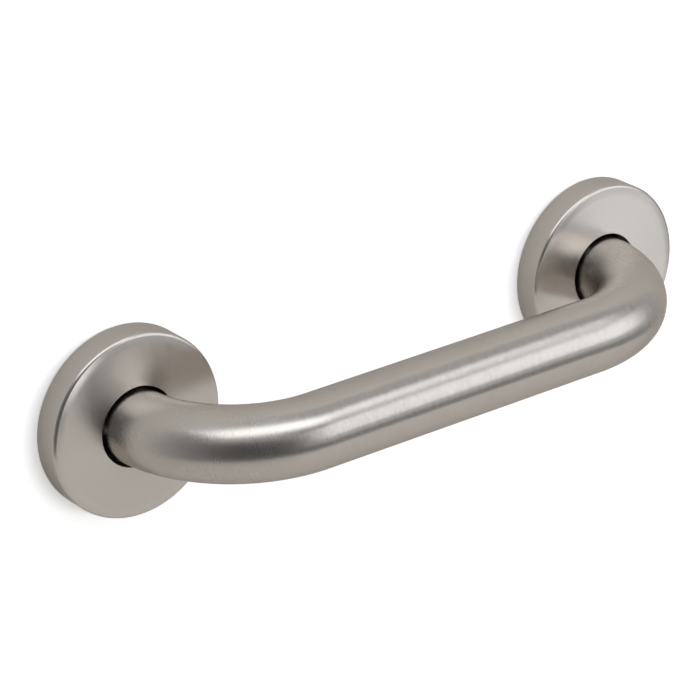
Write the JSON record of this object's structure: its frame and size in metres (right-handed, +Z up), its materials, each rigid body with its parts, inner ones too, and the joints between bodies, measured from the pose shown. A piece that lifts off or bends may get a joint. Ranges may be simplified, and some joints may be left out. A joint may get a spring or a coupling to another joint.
{
  "type": "grab bar",
  "caption": "Wall-mounted grab bar: a bent satin steel tube welded to round mounting plates, each hidden by a push-on cover that slides off along the leg.",
  "frame": {"origin": "in the wall plane, midway between the centres of the legs", "axes": "+X along the grip, +Y into the wall, +Z up"},
  "size_m": [0.3306, 0.079, 0.0804],
  "materials": {
    "bar_steel": "satin, brushed around the tube",
    "cover_steel": "satin",
    "plate_steel": "plain mill finish",
    "weld_steel": "rippled, left as welded"
  },
  "bodies": {
    "bar_and_plates": {"bar": "bar_steel", "mounting_plate_left": "plate_steel", "mounting_plate_right": "plate_steel", "weld_bead_left": "weld_steel", "weld_bead_right": "weld_steel"},
    "left_cover": {"cover_left": "cover_steel"},
    "right_cover": {"cover_right": "cover_steel"}
  },
  "joints": [
    {"name": "left_cover_slide", "type": "slide", "parent": "bar_and_plates", "child": "left_cover", "axis": [0, -1, 0], "range_m": [0, 0.006]},
    {"name": "right_cover_slide", "type": "slide", "parent": "bar_and_plates", "child": "right_cover", "axis": [0, -1, 0], "range_m": [0, 0.006]}
  ]
}
